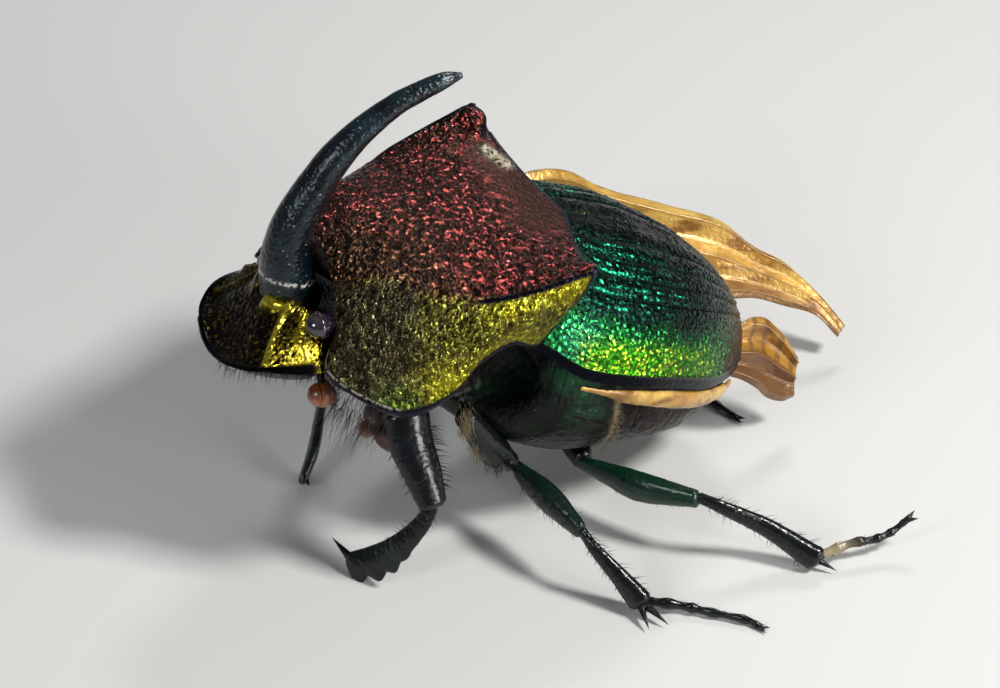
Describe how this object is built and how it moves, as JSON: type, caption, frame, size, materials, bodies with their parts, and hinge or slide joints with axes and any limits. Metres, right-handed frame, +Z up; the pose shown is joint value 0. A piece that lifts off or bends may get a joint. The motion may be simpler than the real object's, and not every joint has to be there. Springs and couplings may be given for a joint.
{
  "type": "rainbow scarab beetle",
  "caption": "Life-size standing model of a horned male dung beetle: long swept-back horn, flat-topped copper shield, green wing cases, hind wings poking out behind, digging front legs.",
  "frame": {"origin": "centre of the bounding box's footprint on the surface that the feet stand on", "axes": "+Z up, -Y the way the head points, +X the beetle's left side"},
  "size_m": [0.0214, 0.025, 0.017],
  "materials": {
    "head": "dark bronze and gold metallic sheen, rough relief",
    "horn": "blue-black semi-gloss, finely punctured",
    "eye": "glossy dark purple",
    "antenna": "matt orange",
    "pronotum": "copper-red metallic sheen turning gold-green down the sides, wrinkled",
    "elytra": "green metallic sheen, striped by dark furrows",
    "underside": "black-green semi-gloss",
    "hindwing": "tan membrane, silky",
    "leg": "glossy black"
  },
  "bodies": {
    "root": {"head": "head", "horn": "horn", "eye_left": "eye", "eye_right": "eye", "antenna_left": "antenna", "antenna_right": "antenna", "mouthparts": "leg", "pronotum": "pronotum", "elytron_left": "elytra", "elytron_right": "elytra", "thorax": "underside", "abdomen": "underside", "pygidium": "underside", "hindwing_left": "hindwing", "hindwing_right": "hindwing", "front_left_coxa": "leg", "front_left_femur": "leg", "front_left_tibia": "leg", "front_right_coxa": "leg", "front_right_femur": "leg", "front_right_tibia": "leg", "mid_left_coxa": "leg", "mid_left_femur": "leg", "mid_left_tibia": "leg", "mid_left_tarsus": "leg", "mid_right_coxa": "leg", "mid_right_femur": "leg", "mid_right_tibia": "leg", "mid_right_tarsus": "leg", "hind_left_coxa": "leg", "hind_left_femur": "leg", "hind_left_tibia": "leg", "hind_left_tarsus": "leg", "hind_right_coxa": "leg", "hind_right_femur": "leg", "hind_right_tibia": "leg", "hind_right_tarsus": "leg"}
  },
  "joints": []
}
